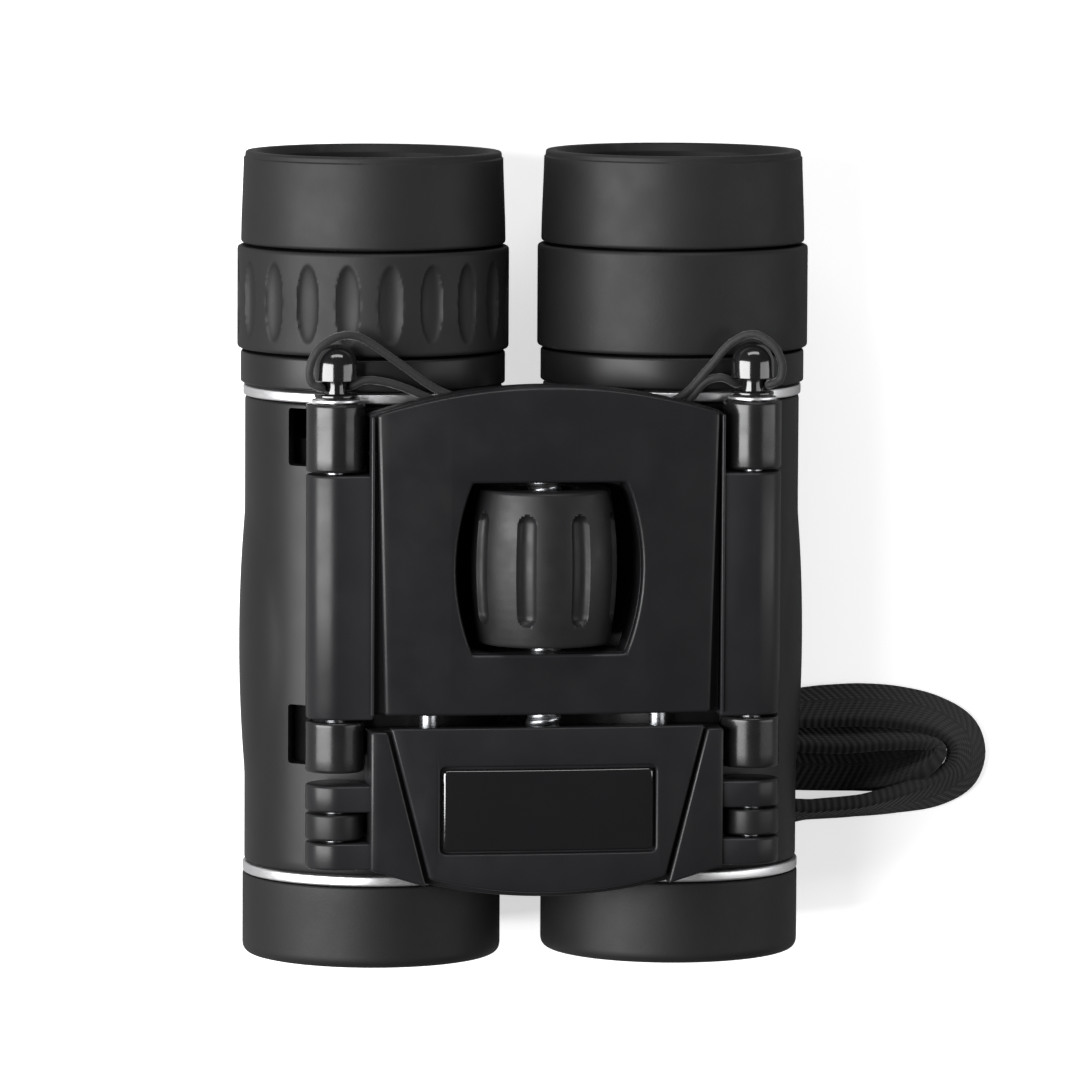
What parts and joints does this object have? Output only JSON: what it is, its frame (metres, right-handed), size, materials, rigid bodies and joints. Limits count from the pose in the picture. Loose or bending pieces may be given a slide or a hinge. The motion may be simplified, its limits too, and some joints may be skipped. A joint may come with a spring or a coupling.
{
  "type": "binoculars",
  "caption": "Compact double-hinged folding roof-prism binoculars, folded, with a centre focusing wheel, a dioptre ring and a thin woven neck strap.",
  "frame": {"origin": "centre of the box round the folded binoculars without their strap", "axes": "+Z out of the bridge's top, +Y along the barrels towards the eyepieces, +X to the right barrel"},
  "size_m": [0.0894, 0.0914, 0.0435],
  "materials": {
    "shell": "satin moulded plastic",
    "bridge": "satin moulded plastic",
    "rubber": "matte rubber",
    "wheel": "satin rubber",
    "carriage": "semi-gloss black",
    "cap": "polished black",
    "label": "high gloss",
    "silver": "bright anodised",
    "steel": "turned",
    "brass": "turned",
    "inner_plastic": "matte black",
    "glass": "coated",
    "objective_glass": "coated",
    "webbing": "woven nylon",
    "cord": "braided nylon",
    "ferrule": "moulded sleeve",
    "tie": "elastic band"
  },
  "bodies": {
    "right_barrel": {"right_barrel_body": "shell", "right_objective_bell": "rubber", "right_front_trim_ring": "silver", "right_rear_trim_ring": "silver", "right_eyepiece_collar": "shell", "right_field_lens": "glass", "right_prism_holder": "inner_plastic", "right_front_prism": "glass", "right_roof_prism": "glass", "right_plain_grip_ring": "rubber", "right_eyecup": "rubber", "right_ocular_tube": "inner_plastic", "right_eye_lens": "glass", "strap_hank": "webbing", "strap_band": "webbing", "strap_lead": "webbing", "strap_tie": "tie", "left_strap_ferrule": "ferrule", "right_strap_ferrule": "ferrule", "right_cord": "cord"},
    "front_bridge": {"front_bridge_frame": "bridge", "front_cover": "bridge", "label_plate": "label", "focus_screw": "steel", "left_guide_pin": "steel", "right_guide_pin": "steel", "left_front_hinge_pin": "steel", "right_front_hinge_pin": "steel", "left_cord": "cord"},
    "rear_bridge": {"rear_bridge_frame": "bridge", "rear_cover": "bridge", "left_cover_screw": "steel", "right_cover_screw": "steel"},
    "focus_wheel": {"focus_wheel": "wheel", "focus_nut": "brass"},
    "left_barrel": {"left_barrel_body": "shell", "left_objective_bell": "rubber", "left_front_trim_ring": "silver", "left_rear_trim_ring": "silver", "left_eyepiece_collar": "shell", "left_prism_holder": "inner_plastic", "left_front_prism": "glass", "left_roof_prism": "glass"},
    "dioptre_ring": {"left_dioptre_ring": "rubber", "left_eyecup": "rubber"},
    "left_ocular": {"left_ocular_tube": "inner_plastic", "left_eye_lens": "glass", "left_field_lens": "glass"},
    "left_carriage": {"left_objective_carriage": "carriage", "left_objective_lens": "objective_glass", "left_objective_retainer": "inner_plastic", "left_hinge_shaft": "steel", "left_hinge_cap": "cap", "left_cap_washer": "silver"},
    "right_carriage": {"right_objective_carriage": "carriage", "right_objective_lens": "objective_glass", "right_objective_retainer": "inner_plastic", "right_hinge_shaft": "steel", "right_hinge_cap": "cap", "right_cap_washer": "silver"}
  },
  "joints": [
    {"name": "right_hinge", "type": "hinge", "parent": "right_barrel", "child": "front_bridge", "pos_m": [0.02357, -0.00007, 0.01212], "axis": [0, 1, 0], "range_deg": [0, 65], "deforming": ["left_cord"]},
    {"name": "left_hinge", "type": "hinge", "parent": "front_bridge", "child": "left_barrel", "pos_m": [-0.02357, -0.00007, 0.01212], "axis": [0, 1, 0], "range_deg": [0, 65]},
    {"name": "focus_slide", "type": "slide", "parent": "front_bridge", "child": "rear_bridge", "axis": [0, 1, 0], "range_m": [-0.001, 0.001]},
    {"name": "focus_wheel_turn", "type": "hinge", "parent": "rear_bridge", "child": "focus_wheel", "pos_m": [0, 0.00017, 0.01212], "axis": [0, 1, 0], "range_deg": [-181, 181]},
    {"name": "left_focus", "type": "slide", "parent": "left_barrel", "child": "left_carriage", "axis": [0, 1, 0], "range_m": [-0.00101, 0.00101]},
    {"name": "right_focus", "type": "slide", "parent": "right_barrel", "child": "right_carriage", "axis": [0, 1, 0], "range_m": [-0.00101, 0.00101], "deforming": ["right_cord"]},
    {"name": "dioptre_turn", "type": "hinge", "parent": "left_barrel", "child": "dioptre_ring", "pos_m": [-0.0172, 0.02993, -0.00492], "axis": [0, 1, 0], "range_deg": [-40, 40]},
    {"name": "dioptre_travel", "type": "slide", "parent": "left_barrel", "child": "left_ocular", "axis": [0, 1, 0], "range_m": [-0.0007, 0.0007]}
  ],
  "couplings": [
    {"joint": "focus_wheel_turn", "follows": "focus_slide", "rad_per_m": 3141.6},
    {"joint": "left_focus", "follows": "focus_slide", "ratio": 1},
    {"joint": "right_focus", "follows": "focus_slide", "ratio": 1},
    {"joint": "dioptre_travel", "follows": "dioptre_turn", "m_per_rad": 0.001}
  ]
}
